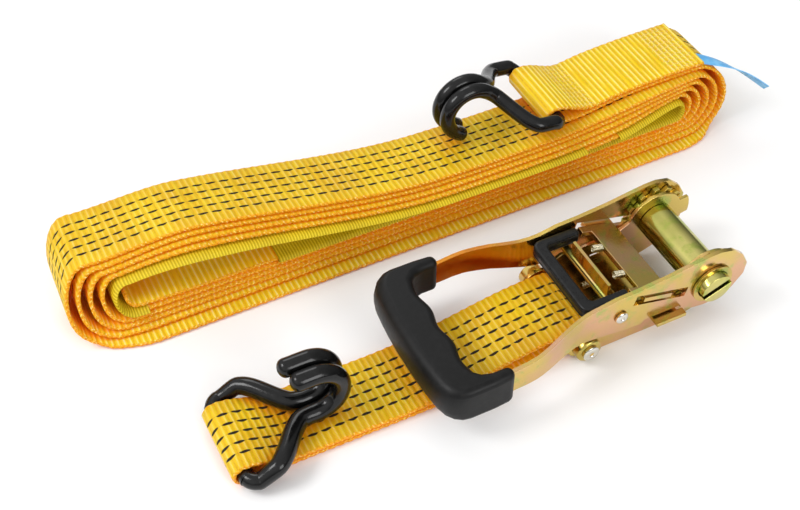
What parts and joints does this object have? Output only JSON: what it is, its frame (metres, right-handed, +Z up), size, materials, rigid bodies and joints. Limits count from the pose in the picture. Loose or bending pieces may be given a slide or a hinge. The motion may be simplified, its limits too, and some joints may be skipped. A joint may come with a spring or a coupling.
{
  "type": "ratchet tie down",
  "caption": "Ratchet tie-down: buckle with folding handle and padded grip, short strap and long coiled strap, each with a coated double J hook.",
  "frame": {"origin": "Middle of the underside of the buckle's floor plate, on the ground plane", "axes": "+X runs from the grip to the spindle, +Y across the buckle towards the coiled strap, +Z up"},
  "size_m": [0.5073, 0.2366, 0.087],
  "materials": {
    "zinc": "yellow-passivated zinc plate on steel, pink and green sheen",
    "grip": "black moulded grip, satin",
    "coated": "black dipped coating on steel, glossy",
    "webbing": "golden yellow ribbed polyester webbing with five rows of black dashes",
    "sleeve": "lime yellow woven sleeve",
    "label": "plain sky blue woven tag"
  },
  "bodies": {
    "base": {"base_frame": "zinc", "anchor_bolt": "zinc", "anchor_nut": "zinc", "anchor_sleeve": "zinc", "short_strap": "webbing"},
    "lock": {"lock_pawl": "zinc", "lock_spring_near": "zinc", "lock_spring_far": "zinc"},
    "spindle": {"spindle_half_upper": "zinc", "spindle_half_lower": "zinc", "ratchet_wheel_near": "zinc", "ratchet_wheel_far": "zinc", "spindle_washer_near": "zinc", "spindle_washer_far": "zinc"},
    "handle": {"handle_arm_near": "zinc", "handle_arm_far": "zinc", "handle_grip": "grip", "grip_core_bar": "zinc", "handle_spacer": "zinc"},
    "drive": {"drive_pawl": "zinc", "release_grip": "coated", "drive_spring_near": "zinc", "drive_spring_far": "zinc"},
    "ratchet_hook": {"ratchet_end_hook": "coated"},
    "coil": {"long_strap": "webbing", "wear_sleeve_left": "sleeve", "wear_sleeve_right": "sleeve", "label_tag": "label"},
    "strap_hook": {"long_strap_hook": "coated"}
  },
  "joints": [
    {"name": "handle_swing", "type": "hinge", "parent": "base", "child": "handle", "pos_m": [0.042, 0, 0.031], "axis": [0, 1, 0], "range_deg": [0, 170]},
    {"name": "spindle_turn", "type": "hinge", "parent": "base", "child": "spindle", "pos_m": [0.042, 0, 0.031], "axis": [0, 1, 0], "continuous": true},
    {"name": "release_pull", "type": "slide", "parent": "handle", "child": "drive", "axis": [-0.9646, 0, 0.2639], "range_m": [0, 0.006], "stiffness_N_per_m": 800, "springref_m": -0.004},
    {"name": "lock_slide", "type": "slide", "parent": "base", "child": "lock", "axis": [-1, 0, 0], "range_m": [0, 0.005], "stiffness_N_per_m": 800, "springref_m": -0.002},
    {"name": "ratchet_hook_swing", "type": "hinge", "parent": "base", "child": "ratchet_hook", "pos_m": [-0.26, 0.002, 0.0082], "axis": [0, -1, 0], "range_deg": [0, 150]},
    {"name": "coil_lift", "type": "slide", "parent": "base", "child": "coil", "axis": [0, 0, 1], "range_m": [0, 0.15]},
    {"name": "strap_hook_swing", "type": "hinge", "parent": "coil", "child": "strap_hook", "pos_m": [0.02, 0.14, 0.054], "axis": [0, 1, 0], "range_deg": [0, 100]}
  ]
}
